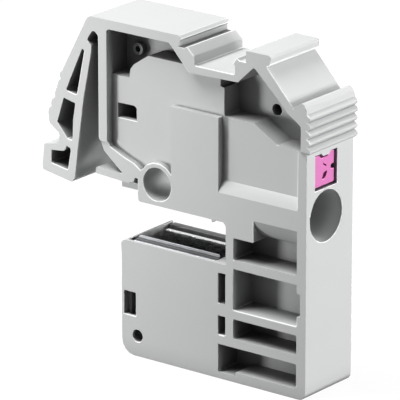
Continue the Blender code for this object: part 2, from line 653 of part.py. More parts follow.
def add_small_openings(housing):
    """Window and round hole of the contact block, panel window, cavity hole and pin sockets."""
    front = -CUT_MARGIN
    block_window = box_outline(BLOCK_LEFT + 0.55 * MM, BLOCK_LEFT + 2.85 * MM, 6.6 * MM, 10.45 * MM)
    cut(housing, slab("block_window_cut", block_window, front, LOWER_STEP + BLOCK_WALL + 0.5 * MM))
    cut(housing, slab("block_hole_cut", circle(BLOCK_LEFT + 3.2 * MM, WELL_FLOOR + 0.4 * MM, 1.0 * MM, 20),
                      front, 0.45 * SEAT_DEPTH))
    panel_window = neck(RIM_INNER, [(1.2, 12.5, 0), (4.9, 12.5, 0), (4.9, 14.55, 0.1), (4.5, 14.85, 0.1),
                                    (1.2, 14.8, 0)])
    cut(housing, slab("panel_window_cut", panel_window, front, PANEL_DEPTH + FLOOR_WALL + 0.5 * MM))
    cut(housing, slab("cavity_hole_cut", circle(FACE - 9.25 * MM, upper(17.97), 0.9 * MM, 20),
                      front, POCKET_DEPTH + 2.0 * MM))
    for index, (x, z) in enumerate(pin_places()):
        socket = circle(x, z, PIN_WIDTH / 2 + CLEARANCE, 16)
        cut(housing, slab(f"pin_socket_cut_{index}", socket, SEAT_DEPTH - PIN_LENGTH,
                          SEAT_DEPTH + CUT_MARGIN))


def make_cover():
    """Flat cover that fits round the boss, and the pins that enter the moulding."""
    outline = cover_outline(CLEARANCE, BLOCK_HEIGHT - 0.15 * MM)
    cover = slab("rear_cover", outline, THICKNESS - COVER_THICKNESS, THICKNESS)
    for index, (x, z) in enumerate(pin_places()):
        pin = slab(f"pin_{index}", circle(x, z, PIN_WIDTH / 2, 16),
                   SEAT_DEPTH - PIN_LENGTH + CLEARANCE, THICKNESS - COVER_THICKNESS / 2)
        join(cover, pin)
    dress(cover, "cover_plastic", COVER_GREY)
    return cover


def make_button():
    """Release button: head with its notch, thumb hollow and slots, plunger nose and keeping lug."""
    near, far = window_depths()
    low = BUTTON_HEIGHT - BUTTON_SIDE / 2
    high = BUTTON_HEIGHT + BUTTON_SIDE / 2
    front = near + CLEARANCE
    back = far - CLEARANCE
    middle = (front + back) / 2
    head = FACE - 0.4 * MM
    tail = head - BUTTON_LENGTH
    bite = back - 0.9 * MM
    bite_low = BUTTON_HEIGHT - 0.35 * MM
    bite_high = BUTTON_HEIGHT + 0.45 * MM
    notch = [(front, low, 0), (back, low, 0), (back, bite_low, 0), (bite, bite_low, 0.3 * MM),
             (bite, bite_high, 0.3 * MM), (back, bite_high, 0), (back, high, 0), (middle + 1.2 * MM, high, 0),
             (middle + 0.8 * MM, high - 0.6 * MM, 0), (middle - 0.8 * MM, high - 0.6 * MM, 0),
             (middle - 1.2 * MM, high, 0), (front, high, 0)]
    button = cross_slab("push_button", notch, tail, head)
    nose_low = BUTTON_HEIGHT - 2.4 * MM
    nose_tip = spring_side(nose_low + 0.9 * MM) + CLEARANCE
    nose = box_outline(nose_tip, tail + 1.0 * MM, nose_low, nose_low + 1.3 * MM, 0.3 * MM)
    join(button, slab("button_nose", nose, middle - 1.2 * MM, middle + 1.2 * MM))
    lug_low = BUTTON_HEIGHT - LUG_LENGTH + CLEARANCE
    lug_high = BUTTON_HEIGHT + LUG_LENGTH - CLEARANCE
    lug = box_outline(lug_right() - LUG_LENGTH, lug_right(), lug_low, lug_high)
    join(button, slab("button_lug", lug, back - 0.5 * MM, far + BUTTON_LUG))
    hollow = cross_slab("thumb_hollow", [(middle - 0.7 * MM, BUTTON_HEIGHT - 1.6 * MM, 0.2 * MM),
                                         (middle + 0.3 * MM, BUTTON_HEIGHT - 1.3 * MM, 0.2 * MM),
                                         (middle + 0.9 * MM, BUTTON_HEIGHT - 0.2 * MM, 0.3 * MM),
                                         (middle - 0.2 * MM, BUTTON_HEIGHT - 0.5 * MM, 0.3 * MM)],
                        head - 1.2 * MM, head + CUT_MARGIN)
    cut(button, hollow)
    slot = cross_slab("screwdriver_slot", [(middle - 0.3 * MM, BUTTON_HEIGHT + 0.8 * MM, 0.1 * MM),
                                           (middle + 0.5 * MM, BUTTON_HEIGHT + 0.35 * MM, 0.1 * MM),
                                           (middle + 0.5 * MM, BUTTON_HEIGHT + 0.6 * MM, 0.1 * MM),
                                           (middle - 0.3 * MM, BUTTON_HEIGHT + 1.1 * MM, 0.1 * MM)],
                      head - 0.8 * MM, head + CUT_MARGIN)
    cut(button, slot)
    move_origin(button, Vector((head - WIDTH / 2, middle - THICKNESS / 2, BUTTON_HEIGHT)))
    dress(button, "pink_plastic", BUTTON_PINK)
    return button


def spring_line():
    """Centre line of the clamping spring: holding leg, loop and the leg that ends over the wire rest."""
    loop_x = CHAMBER_RIGHT - LOOP_FROM_BORE
    loop_z = CHAMBER_ROOF - 2.75 * MM
    tip = (land_left() + 0.4 * MM, land_top() + 0.5 * MM)
    loop = arc(loop_x, loop_z, SPRING_LOOP, 90, -10)
    return [(CHAMBER_LEFT + CAGE_THICKNESS + 0.8 * MM, loop_z + SPRING_LOOP)] + loop + [tip]


def spring_side(z):
    """Right side of the spring's long leg at a height, where the button's nose rests."""
    (top_x, top_z), (tip_x, tip_z) = spring_line()[-2:]
    return tip_x + (top_x - tip_x) * (z - tip_z) / (top_z - tip_z) + SPRING_THICKNESS


def land_left():
    """Left end of the current bar's wire rest."""
    return REST_WALL + CLEARANCE


def land_top():
    """Top of the current bar's wire rest, level with the bottom of the bore."""
    return WIRE_HEIGHT - WIRE_BORE / 2


def make_spring():
    """Clamping spring bent from steel strip."""
    middle = SEAT_DEPTH / 2
    spring = slab("clamping_spring", strip(spring_line(), SPRING_THICKNESS),
                  middle - SPRING_WIDTH / 2, middle + SPRING_WIDTH / 2)
    dress(spring, "spring_steel", SPRING_STEEL)
    return spring


def make_cage():
    """Steel cage round the back of the clamp, over the holding leg of the spring."""
    left = CHAMBER_LEFT + CLEARANCE + CAGE_THICKNESS / 2
    bottom = CAGE_FLOOR + CLEARANCE + CAGE_THICKNESS / 2
    top = spring_line()[0][1] + SPRING_THICKNESS / 2 + CLEARANCE + CAGE_THICKNESS / 2
    bend = 0.6 * MM
    line = [(REST_WALL - 0.6 * MM, bottom)]
    line += arc(left + bend, bottom + bend, bend, 270, 180)
    line += arc(left + bend, top - bend, bend, 180, 90)
    line += [(CHAMBER_RIGHT - LOOP_FROM_BORE, top)]
    cage = slab("clamp_cage", strip(line, CAGE_THICKNESS), CHAMBER_FRONT + CLEARANCE,
                BAR_DEPTH + BAR_THICKNESS)
    dress(cage, "cage_steel", CAGE_STEEL)
    return cage


def make_bar():
    """Current bar: long leg in the contact well, riser behind the pockets and wire rest in the clamp."""
    right = CHAMBER_RIGHT - CLEARANCE
    riser_left = land_left()
    leg_left = WELL_LEFT + 1.3 * MM
    leg_top = BLOCK_HEIGHT - 0.05 * MM
    low = WELL_FLOOR + 1.5 * MM
    neck_top = BLOCK_HEIGHT - 2.0 * MM - CLEARANCE
    outline = [(leg_left, low, 0.5 * MM), (right, low, 1.0 * MM), (right, land_top(), 0),
               (riser_left, land_top(), 0), (riser_left, neck_top, 0), (GAP_END - 0.2 * MM, neck_top, 0),
               (GAP_END - 0.9 * MM, leg_top, 0.3 * MM), (leg_left, leg_top, 0.5 * MM)]
    bar = slab("current_bar", outline, BAR_DEPTH, BAR_DEPTH + BAR_THICKNESS)
    rest = slab("wire_rest", box_outline(riser_left, right, land_top() - BAR_THICKNESS, land_top()),
                CHAMBER_FRONT + CLEARANCE, BAR_DEPTH + BAR_THICKNESS / 2)
    join(bar, rest)
    dress(bar, "tinned_copper", TINNED_COPPER)
    return bar


def make_leaf():
    """Contact leaf: short leg at the front wall, flange with its raised lip, and the face of the slot."""
    half = LEAF_THICKNESS / 2
    face = LEAF_FACE - half
    front = LOWER_STEP + BLOCK_WALL + CLEARANCE + half
    flange = BLOCK_HEIGHT - 0.1 * MM - half
    lip = flange + LEAF_LIP
    foot = WELL_FLOOR + 2 * LEAF_THICKNESS
    line = [(front, BLOCK_HEIGHT - LEAF_LEG)]
    line += arc(front + LEAF_BEND, flange - LEAF_BEND, LEAF_BEND, 180, 90)
    line += [(face - 2 * LEAF_BEND, flange)]
    line += arc(face - LEAF_BEND, lip - LEAF_BEND, LEAF_BEND, 90, 0)
    line += arc(face + LEAF_FOOT_BEND, foot + LEAF_FOOT_BEND, LEAF_FOOT_BEND, 180, 270)
    line += [(BAR_DEPTH - CLEARANCE, foot)]
    leaf = cross_slab("contact_leaf", strip(line, LEAF_THICKNESS), LEAF_LEFT, LEAF_RIGHT)
    cut(leaf, leaf_corner())
    dress(leaf, "contact_metal", LEAF_METAL)
    return leaf


def leaf_corner():
    """Rounded corner that is cut off the leaf at the back of its right end."""
    beyond = LEAF_FACE + LEAF_CORNER
    start = LEAF_RIGHT - LEAF_CORNER
    depth = LEAF_FACE - LEAF_CORNER
    outline = [(x, y, 0) for x, y in arc(start, depth, LEAF_CORNER, 90, 0)]
    outline += [(LEAF_RIGHT + CUT_MARGIN, depth, 0), (LEAF_RIGHT + CUT_MARGIN, beyond, 0), (start, beyond, 0)]
    low = WELL_FLOOR + LEAF_CORNER_RISE
    return plan_slab("leaf_corner_cut", outline, low, BLOCK_HEIGHT + CUT_MARGIN, CUTTERS)


def make_contact_spring(name, left, width):
    """Steel strip folded between the leaf's two legs, which presses its contact face to the back."""
    front = LOWER_STEP + BLOCK_WALL + 2 * CLEARANCE + LEAF_THICKNESS + SPRING_THICKNESS / 2
    back = LEAF_FACE - LEAF_THICKNESS - CLEARANCE - SPRING_THICKNESS / 2
    bend = (back - front) / 2
    low = WELL_FLOOR + FOLD_RISE
    high = BLOCK_HEIGHT - FOLD_DROP
    fold = arc(front + bend, high - bend, bend, 180, 0, math.radians(30))
    line = [(front, low)] + fold + [(back, low - LEAF_FOOT_BEND)]
    spring = cross_slab(name, strip(line, SPRING_THICKNESS), left, left + width)
    dress(spring, name + "_steel", SPRING_STEEL)
    return spring


def build():
    """Make every piece of the terminal block."""
    make_housing()
    make_cover()
    make_button()
    make_spring()
    make_cage()
    make_bar()
    make_leaf()
    spring_room = LEAF_RIGHT - LEAF_CORNER - LEAF_LEFT
    spring_width = (spring_room - 2 * SPRING_GAP) / 2
    make_contact_spring("contact_spring_left", LEAF_LEFT + SPRING_GAP / 2, spring_width)
    make_contact_spring("contact_spring_right", LEAF_LEFT + 1.5 * SPRING_GAP + spring_width, spring_width)


build()
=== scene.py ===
"""Finish of a push-in terminal block: moulded edges, plastics, contact metal and a small studio."""
import math

import bmesh
import bpy
from bpy.props import FloatProperty, FloatVectorProperty, PointerProperty
from mathutils import Matrix, Vector
from mathutils.geometry import intersect_point_line


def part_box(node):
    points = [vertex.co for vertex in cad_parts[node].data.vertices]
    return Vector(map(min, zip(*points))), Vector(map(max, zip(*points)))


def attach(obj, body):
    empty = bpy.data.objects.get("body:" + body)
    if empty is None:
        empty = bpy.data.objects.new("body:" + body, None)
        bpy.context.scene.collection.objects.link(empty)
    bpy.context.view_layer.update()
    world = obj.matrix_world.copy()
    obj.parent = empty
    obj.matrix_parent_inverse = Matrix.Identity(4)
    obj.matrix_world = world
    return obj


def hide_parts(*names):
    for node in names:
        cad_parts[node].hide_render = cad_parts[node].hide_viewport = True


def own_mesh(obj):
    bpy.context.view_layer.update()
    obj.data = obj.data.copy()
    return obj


bl_info = {
    "name": "Terminal Block Finish",
    "version": (1, 0, 0),
    "blender": (4, 5, 0),
    "location": "3D View > Sidebar > Terminal Block",
    "description": "Gives a packed terminal block its moulded edges, plastics, metals and studio",
    "category": "Object",
}

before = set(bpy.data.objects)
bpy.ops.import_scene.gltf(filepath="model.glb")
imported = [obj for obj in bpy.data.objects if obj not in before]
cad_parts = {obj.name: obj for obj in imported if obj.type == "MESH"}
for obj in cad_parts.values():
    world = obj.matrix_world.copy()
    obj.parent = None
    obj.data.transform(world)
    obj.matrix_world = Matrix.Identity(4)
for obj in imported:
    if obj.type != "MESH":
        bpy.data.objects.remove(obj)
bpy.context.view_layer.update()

MM = 0.001
HOUSING_LOW, HOUSING_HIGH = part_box("housing")
BLOCK_BODY = "block"
BUTTON_BODY = "button"

# The photograph's camera: where it looks, from which side, from how far and with which lens
VIEW_TARGET = Vector((5.24 * MM, HOUSING_LOW.y, 28.42 * MM))
VIEW_AZIMUTH = math.radians(37.74)
VIEW_ELEVATION = math.radians(18.39)
VIEW_DISTANCE = 707.5 * MM
VIEW_LENS = 416.2
SENSOR_WIDTH = 36.0
CLIP_START = 10 * MM
CLIP_END = 20.0

# Each lamp's name, power property, side in metres, direction from the block and distance in metres
LAMPS = (
    ("key_lamp", "key_power", 0.03, (-1.0, -1.0, -0.06), 0.16),
    ("top_lamp", "top_power", 0.30, (-0.4, -0.27, 1.0), 0.5),
    ("side_lamp", "side_power", 0.22, (1.0, 0.12, 0.0), 0.5),
    ("back_lamp", "back_power", 0.10, (0.60, 1.0, 0.20), 0.5),
)

# The floor: half its side in metres, the gap under the block, and how much it glows for the camera
FLOOR_HALF = 4.0
FLOOR_GAP = 0.02 * MM
FLOOR_GLOW = 0.95

# A copied CAD mesh has its corners merged within this distance and its flats within this angle
MERGE_WITHIN = 0.002 * MM
FLAT_WITHIN = math.radians(0.8)

# An outer edge is rounded where its faces turn by more than this, in this many steps
ROUND_FROM = math.radians(35)
ROUND_STEPS = 2
# A rounding that folds a face over itself is tried again with the edges near the fold left sharp:
# those that pass this near and have an end this near, at first only where they are this short
ROUND_TRIES = 6
SHORT_EDGE_TRIES = 4
SHORT_EDGE = 0.7 * MM
FOLD_TO_EDGE = 0.25 * MM
FOLD_TO_END = 0.6 * MM
# Two sides of an outline only touch where their crossing measures less than this
CROSSING = 1e-9

# Name of the face layer that marks the narrow faces of a rounded edge
ROUNDING = "rounding"
# A face belongs to a rounding where its mean width is under this share of the radius and its long
# sides turn by more than this angle
STRIP_WIDTH = 0.9
STRIP_ANGLE = math.radians(10)
# Flats that turn by less than this are shaded as one
FLATS_JOIN = math.radians(25)
# A rounding is shaded as the flats nearest to it in angle, if they are within the reach
FLAT_REACH = math.radians(60)
FLAT_SPREAD = math.radians(5)

# Most of a noise pattern lies between these values
NOISE_LOW = 0.3
NOISE_HIGH = 0.7

# Painted shade in recesses: how far away a wall darkens a face, the open share of its view at which
# it is darkest and at which it is not darkened, and how dark the grey and the pink plastic are
# drawn there
RECESS_REACH = 6.5 * MM
RECESS_SHUT = 0.1
RECESS_OPEN = 0.7
GREY_RECESS_SHADE = 0.18
PINK_RECESS_SHADE = 0.8
# Painted highlight: how much lighter the moulded edges are drawn than the flats
EDGE_HIGHLIGHT = 1.6

# The boss bore: where its axis, along Y, crosses the side view, and a radius just past its wall.
# Both its ends are open; its wall is drawn lighter from front to back between these depths, as
# painted light
BORE_X = -3.35 * MM
BORE_Z = 29.07 * MM
BORE_RADIUS = 2.75 * MM
BORE_FRONT_LIGHT = 1.0
BORE_BACK_LIGHT = 1.7
BORE_FRONT_Y = -3.5 * MM
BORE_BACK_Y = 0.0

# A pattern that changes at a border does so over this width
BORDER = 0.02 * MM
# The contact leaf's lip: its depth from the top, and how much brighter than the leaf its painted
# highlight is
LIP_DEPTH = 0.2 * MM
LIP_HIGHLIGHT = 5.0

# Stretch of the rolling lines along each axis
LINES_ALONG_X = (0.05, 1.0, 1.0)
LINES_ALONG_Y = (1.0, 0.05, 1.0)
LINES_ALONG_Z = (1.0, 1.0, 0.05)


def linear(text):
    """Turn an sRGB hex colour into linear red, green, blue and alpha."""
    channels = [int(text[index:index + 2], 16) / 255 for index in (1, 3, 5)]
    return tuple(c / 12.92 if c <= 0.04045 else ((c + 0.055) / 1.055) ** 2.4
                 for c in channels) + (1.0,)


def add_node(tree, kind, values=None, links=None, **settings):
    """Add a node with its settings, the values of its inputs and the links into them."""
    made = tree.nodes.new(kind)
    for name, value in settings.items():
        setattr(made, name, value)
    for socket, value in (values or {}).items():
        made.inputs[socket].default_value = value
    for socket, source in (links or {}).items():
        tree.links.new(source, made.inputs[socket])
    return made


def new_material(name):
    """Make a material whose tree holds only its output."""
    material = bpy.data.materials.new(name)
    material.use_nodes = True
    tree = material.node_tree
    tree.nodes.clear()
    return material, tree, tree.nodes.new("ShaderNodeOutputMaterial")


def moulded_plastic(name, colour, roughness, cloud_contrast, grain_height,
                    painted_recess_shade=GREY_RECESS_SHADE):
    """Injection-moulded plastic: clouded colour, uneven sheen and the tool's fine eroded grain.

    The cloud gives the eye slow changes of shade over some millimetres, as melt flow leaves them.
    The grain is really about 0.03 mm and would not show, so it is drawn 0.12 mm wide. Deep recesses
    are drawn darker than open faces, as painted shade that makes the pockets and slots nearly
    black.
    Moulded edges are drawn lighter, as a painted highlight along them.
    """
    cloud_size = 9 * MM
    grain_size = 0.12 * MM
    material, tree, output = new_material(name)
    place = add_node(tree, "ShaderNodeTexCoord").outputs["Object"]
    cloud = add_node(tree, "ShaderNodeTexNoise",
                     {"Scale": 1 / cloud_size, "Detail": 3.0, "Roughness": 0.55}, {"Vector": place})
    grain = add_node(tree, "ShaderNodeTexNoise",
                     {"Scale": 1 / grain_size, "Detail": 2.0, "Roughness": 0.6}, {"Vector": place})
    shade = add_node(tree, "ShaderNodeMapRange",
                     {"From Min": NOISE_LOW, "From Max": NOISE_HIGH,
                      "To Min": 1 - cloud_contrast, "To Max": 1 + cloud_contrast},
                     {"Value": cloud.outputs["Fac"]})
    # Painted shade: faces deep in recesses are drawn darker than open faces
    opening = add_node(tree, "ShaderNodeAmbientOcclusion", {"Distance": RECESS_REACH}, samples=8)
    recess_shade = add_node(tree, "ShaderNodeMapRange",
                      {"From Min": RECESS_SHUT, "From Max": RECESS_OPEN,
                       "To Min": painted_recess_shade, "To Max": 1.0},
                      {"Value": opening.outputs["AO"]}, interpolation_type="SMOOTHSTEP")
    # Painted light: the boss bore's wall is drawn lighter towards its back, as if lit through its
    # open ends
    flat = add_node(tree, "ShaderNodeVectorMath", {1: (1, 0, 1)}, {0: place}, operation="MULTIPLY")
    away = add_node(tree, "ShaderNodeVectorMath", {1: (BORE_X, 0, BORE_Z)},
                    {0: flat.outputs["Vector"]}, operation="DISTANCE")
    axes = add_node(tree, "ShaderNodeSeparateXYZ", links={"Vector": place})
    painted_backlight = add_node(tree, "ShaderNodeMapRange",
                         {"From Min": BORE_FRONT_Y, "From Max": BORE_BACK_Y,
                          "To Min": BORE_FRONT_LIGHT, "To Max": BORE_BACK_LIGHT},
                         {"Value": axes.outputs["Y"]})
    bore_light = add_node(tree, "ShaderNodeMapRange",
                    {"From Min": BORE_RADIUS, "From Max": BORE_RADIUS + BORDER, "To Max": 0.0},
                    {"Value": away.outputs["Value"], "To Min": painted_backlight.outputs["Result"]})
    shade_and_bore_light = add_node(tree, "ShaderNodeMath",
                     links={0: recess_shade.outputs["Result"], 1: bore_light.outputs["Result"]},
                     operation="MAXIMUM")
    # Painted highlight: the narrow faces of rounded edges are drawn lighter than the flats
    edge = add_node(tree, "ShaderNodeAttribute", attribute_name=ROUNDING)
    lift = add_node(tree, "ShaderNodeMapRange", {"To Min": 1.0, "To Max": EDGE_HIGHLIGHT},
                    {"Value": edge.outputs["Fac"]})
    highlighted = add_node(tree, "ShaderNodeMath",
                      links={0: shade.outputs["Result"], 1: lift.outputs["Result"]},
                      operation="MULTIPLY")
    value = add_node(tree, "ShaderNodeMath", links={0: highlighted.outputs[0], 1: shade_and_bore_light.outputs[0]},
                     operation="MULTIPLY")
    tone = add_node(tree, "ShaderNodeHueSaturation", {"Color": tuple(colour)},
                    {"Value": value.outputs[0]})
    sheen = add_node(tree, "ShaderNodeMapRange",
                     {"From Min": 0.25, "From Max": 0.75,
                      "To Min": roughness - 0.05, "To Max": roughness + 0.07},
                     {"Value": grain.outputs["Fac"]})
    bump = add_node(tree, "ShaderNodeBump", {"Strength": 0.35, "Distance": grain_height},
                    {"Height": grain.outputs["Fac"]})
    shader = add_node(tree, "ShaderNodeBsdfPrincipled", {"IOR": 1.53, "Specular IOR Level": 0.35},
                      {"Base Color": tone.outputs["Color"], "Roughness": sheen.outputs["Result"],
                       "Normal": bump.outputs["Normal"]})
    tree.links.new(shader.outputs["BSDF"], output.inputs["Surface"])
    return material


def strip_metal(name, colour, roughness, line_stretch, bright_from=None):
    """Rolled strip metal: bright, with drawn lines along the strip and a slow change of shade.

    Rolling lines are about 0.01 mm apart and are drawn 0.08 mm apart, so that the sheen streaks.
    Above the height bright_from the metal is drawn brighter: a painted highlight on a bent lip.
    """
    line_pitch = 0.08 * MM
    patch_size = 4 * MM
    material, tree, output = new_material(name)
    place = add_node(tree, "ShaderNodeTexCoord").outputs["Object"]
    along = add_node(tree, "ShaderNodeMapping", {"Scale": line_stretch}, {"Vector": place})
    lines = add_node(tree, "ShaderNodeTexNoise", {"Scale": 1 / line_pitch, "Detail": 2.0},
                     {"Vector": along.outputs["Vector"]})
    patches = add_node(tree, "ShaderNodeTexNoise", {"Scale": 1 / patch_size, "Detail": 2.0},
                       {"Vector": place})
    streaks = add_node(tree, "ShaderNodeMapRange",
                       {"From Min": NOISE_LOW, "From Max": NOISE_HIGH,
                        "To Min": roughness - 0.06, "To Max": roughness + 0.08},
                       {"Value": lines.outputs["Fac"]})
    shade = add_node(tree, "ShaderNodeMapRange",
                     {"From Min": NOISE_LOW, "From Max": NOISE_HIGH,
                      "To Min": 0.94, "To Max": 1.05},
                     {"Value": patches.outputs["Fac"]})
    tone = add_node(tree, "ShaderNodeHueSaturation", {"Color": tuple(colour)},
                    {"Value": shade.outputs["Result"]})
    # Painted highlight: above the given height the metal is drawn brighter
    if bright_from is not None:
        height = add_node(tree, "ShaderNodeSeparateXYZ", links={0: place}).outputs["Z"]
        lip = add_node(tree, "ShaderNodeMapRange",
                       {"From Min": bright_from, "From Max": bright_from + BORDER,
                        "To Min": 1.0, "To Max": LIP_HIGHLIGHT},
                       {"Value": height})
        value = add_node(tree, "ShaderNodeMath",
                         links={0: shade.outputs["Result"], 1: lip.outputs["Result"]},
                         operation="MULTIPLY")
        tree.links.new(value.outputs[0], tone.inputs["Value"])
    bump = add_node(tree, "ShaderNodeBump", {"Strength": 0.2, "Distance": 0.01 * MM},
                    {"Height": lines.outputs["Fac"]})
    shader = add_node(tree, "ShaderNodeBsdfPrincipled", {"Metallic": 1.0},
                      {"Base Color": tone.outputs["Color"], "Roughness": streaks.outputs["Result"],
                       "Normal": bump.outputs["Normal"]})
    tree.links.new(shader.outputs["BSDF"], output.inputs["Surface"])
    return material


def seen_directly(tree):
    """Socket that is 1 for the camera's rays and for those of a gloss or a glass, and else 0."""
    path = add_node(tree, "ShaderNodeLightPath")
    seen = add_node(tree, "ShaderNodeMath",
                    links={0: path.outputs["Is Camera Ray"], 1: path.outputs["Is Glossy Ray"]},
                    operation="MAXIMUM")
    through = add_node(tree, "ShaderNodeMath",
                       links={0: seen.outputs[0], 1: path.outputs["Is Transmission Ray"]},
                       operation="MAXIMUM")
    return through.outputs[0]


def studio_white(name, colour, glow):
    """Matt white card that keeps a shadow and is lifted to white where the camera sees it."""
    material, tree, output = new_material(name)
    strength = add_node(tree, "ShaderNodeMath", {1: glow}, {0: seen_directly(tree)},
                        operation="MULTIPLY")
    card = add_node(tree, "ShaderNodeBsdfDiffuse", {"Color": tuple(colour)})
    lift = add_node(tree, "ShaderNodeEmission", links={"Strength": strength.outputs[0]})
    both = add_node(tree, "ShaderNodeAddShader", links={0: card.outputs[0], 1: lift.outputs[0]})
    tree.links.new(both.outputs[0], output.inputs["Surface"])
    return material


def outline_crossings(face):
    """Places where the outline of a face crosses itself."""
    to_flat = face.normal.rotation_difference(Vector((0, 0, 1))).to_matrix()
    flat = [(to_flat @ vert.co).xy / MM for vert in face.verts]
    sides = list(zip(flat, flat[1:] + flat[:1], face.verts))
    places = []
    for first, (start, end, vert) in enumerate(sides):
        for other_start, other_end, _ in sides[first + 2:]:
            along = end - start
            other = other_end - other_start
            near = along.cross(other_start - start) * along.cross(other_end - start)
            far = other.cross(start - other_start) * other.cross(end - other_start)
            if near < -CROSSING and far < -CROSSING:
                places.append(vert.co.copy())
    return places


def rounded_edges(shape, width):
    """Round the outer edges of a shape; corners too small for the radius stay sharp."""
    sharp_places = []
    for attempt in range(ROUND_TRIES):
        trial = shape.copy()
        edges = []
        for edge in trial.edges:
            if not (edge.is_manifold and edge.is_convex and edge.calc_face_angle() > ROUND_FROM):
                continue
            start, end = (vert.co for vert in edge.verts)
            short = attempt >= SHORT_EDGE_TRIES or edge.calc_length() < SHORT_EDGE
            close = any((intersect_point_line(place, start, end)[0] - place).length < FOLD_TO_EDGE
                        and min((start - place).length, (end - place).length) < FOLD_TO_END
                        for place in sharp_places)
            if not (short and close):
                edges.append(edge)
        bmesh.ops.bevel(trial, geom=edges, affect="EDGES", offset=width, offset_type="OFFSET",
                        segments=ROUND_STEPS, profile=0.5, material=-1, clamp_overlap=False,
                        loop_slide=True)
        rounding = trial.faces.layers.int[ROUNDING]
        for face in trial.faces:
            narrow = 2 * face.calc_area() < STRIP_WIDTH * width * face.calc_perimeter()
            sides = sorted(face.edges, key=lambda edge: edge.calc_length())[-2:]
            face[rounding] = narrow and all(edge.calc_face_angle(0.0) > STRIP_ANGLE
                                            for edge in sides)
        trial.normal_update()
        folds = [place for face in trial.faces for place in outline_crossings(face)]
        if not folds or attempt == ROUND_TRIES - 1:
            return trial
        sharp_places += folds
        trial.free()


def corner_normals(shape):
    """Normals for each corner of each face: flat faces stay flat and roundings blend into them."""
    rounding = shape.faces.layers.int[ROUNDING]
    normals = []
    for face in shape.faces:
        for loop in face.loops:
            around = [(other, other.normal.angle(face.normal, 0.0))
                      for other in loop.vert.link_faces]
            flats = [(other, angle) for other, angle in around if not other[rounding]]
            if face[rounding]:
                nearest = min((angle for _, angle in flats), default=math.pi)
                joined = ([other for other, angle in flats if angle < nearest + FLAT_SPREAD]
                          if nearest < FLAT_REACH
                          else [other for other, angle in around if angle < FLAT_REACH])
            else:
                joined = [other for other, angle in flats if angle < FLATS_JOIN]
            total = sum((other.normal * other.calc_area() for other in joined), Vector())
            normals.append((total if total.length > 0 else face.normal).normalized())
    return normals


def finished_copy(node, name, material, edge_width, body):
    """Replace a CAD node by a copy of its mesh with a real piece's small radius on its edges."""
    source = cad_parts[node]
    shape = bmesh.new()
    shape.from_mesh(source.data)
    bmesh.ops.remove_doubles(shape, verts=shape.verts, dist=MERGE_WITHIN)
    bmesh.ops.dissolve_limit(shape, angle_limit=FLAT_WITHIN, verts=shape.verts, edges=shape.edges)
    bmesh.ops.connect_verts_concave(shape, faces=shape.faces)
    shape.faces.layers.int.new(ROUNDING)
    shape.normal_update()
    if edge_width > 0:
        rounded = rounded_edges(shape, edge_width)
        shape.free()
        shape = rounded
    normals = corner_normals(shape)
    mesh = bpy.data.meshes.new(name)
    shape.to_mesh(mesh)
    shape.free()
    mesh.shade_smooth()
    mesh.normals_split_custom_set(normals)
    mesh.materials.append(material)
    piece = bpy.data.objects.new(name, mesh)
    bpy.context.scene.collection.objects.link(piece)
    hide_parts(node)
    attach(piece, body)
    return piece


class BlockFinish(bpy.types.PropertyGroup):
    """Colours and edge sizes of the block that a user may change."""

    housing_colour: FloatVectorProperty(
        name="Housing colour", description="Pale grey of the moulded housing",
        subtype="COLOR", size=4, min=0.0, max=1.0, default=linear("#ACADAD"))
    cover_colour: FloatVectorProperty(
        name="Cover colour", description="Grey of the rear cover", subtype="COLOR", size=4,
        min=0.0, max=1.0, default=linear("#B0B1B1"))
    button_colour: FloatVectorProperty(
        name="Button colour", description="Pink of the release button", subtype="COLOR", size=4,
        min=0.0, max=1.0, default=linear("#B8649C"))
    tin_colour: FloatVectorProperty(
        name="Tin colour", description="Bright tin of the current bar", subtype="COLOR", size=4,
        min=0.0, max=1.0, default=linear("#DCDDDE"))
    leaf_colour: FloatVectorProperty(
        name="Leaf colour", description="Duller tin of the contact leaf", subtype="COLOR", size=4,
        min=0.0, max=1.0, default=linear("#77787A"))
    steel_colour: FloatVectorProperty(
        name="Steel colour", description="Spring steel of the springs and the cage",
        subtype="COLOR", size=4, min=0.0, max=1.0, default=linear("#96979A"))
    housing_edge: FloatProperty(
        name="Housing edge", description="Radius of the moulded outer edges of the housing",
        default=0.13 * MM, min=0.0, max=0.3 * MM, unit="LENGTH")
    button_edge: FloatProperty(
        name="Button edge", description="Radius on the outer edges of the release button",
        default=0.1 * MM, min=0.0, max=0.3 * MM, unit="LENGTH")
    metal_edge: FloatProperty(
        name="Metal edge", description="Radius of the stamped edges of the current bar",
        default=0.06 * MM, min=0.0, max=0.2 * MM, unit="LENGTH")
    leaf_edge: FloatProperty(
        name="Leaf edge", description="Radius on the edges and the lip of the contact leaf",
        default=0.1 * MM, min=0.0, max=0.2 * MM, unit="LENGTH")


class StudioLight(bpy.types.PropertyGroup):
    """Power of each lamp of the studio."""

    key_power: FloatProperty(
        name="Key", description="Small near lamp at the front left, for the pockets' shadows",
        default=0.215, min=0.0, subtype="POWER")
    top_power: FloatProperty(
        name="Top", description="Wide lamp over the block that whitens its upper faces",
        default=5.2, min=0.0, subtype="POWER")
    side_power: FloatProperty(
        name="Side", description="Soft lamp beside the block that lights the wire side",
        default=4.5, min=0.0, subtype="POWER")
    back_power: FloatProperty(
        name="Back", description="Lamp behind the block that shines through the boss",
        default=1.6, min=0.0, subtype="POWER")
    ambient: FloatProperty(
        name="Ambient", description="Even light from all round", default=0.01, min=0.0, max=2.0)
    floor_colour: FloatVectorProperty(
        name="Floor", description="Shade of the floor card, low so that it throws little light up",
        subtype="COLOR", size=4, min=0.0, max=1.0, default=linear("#484848"))


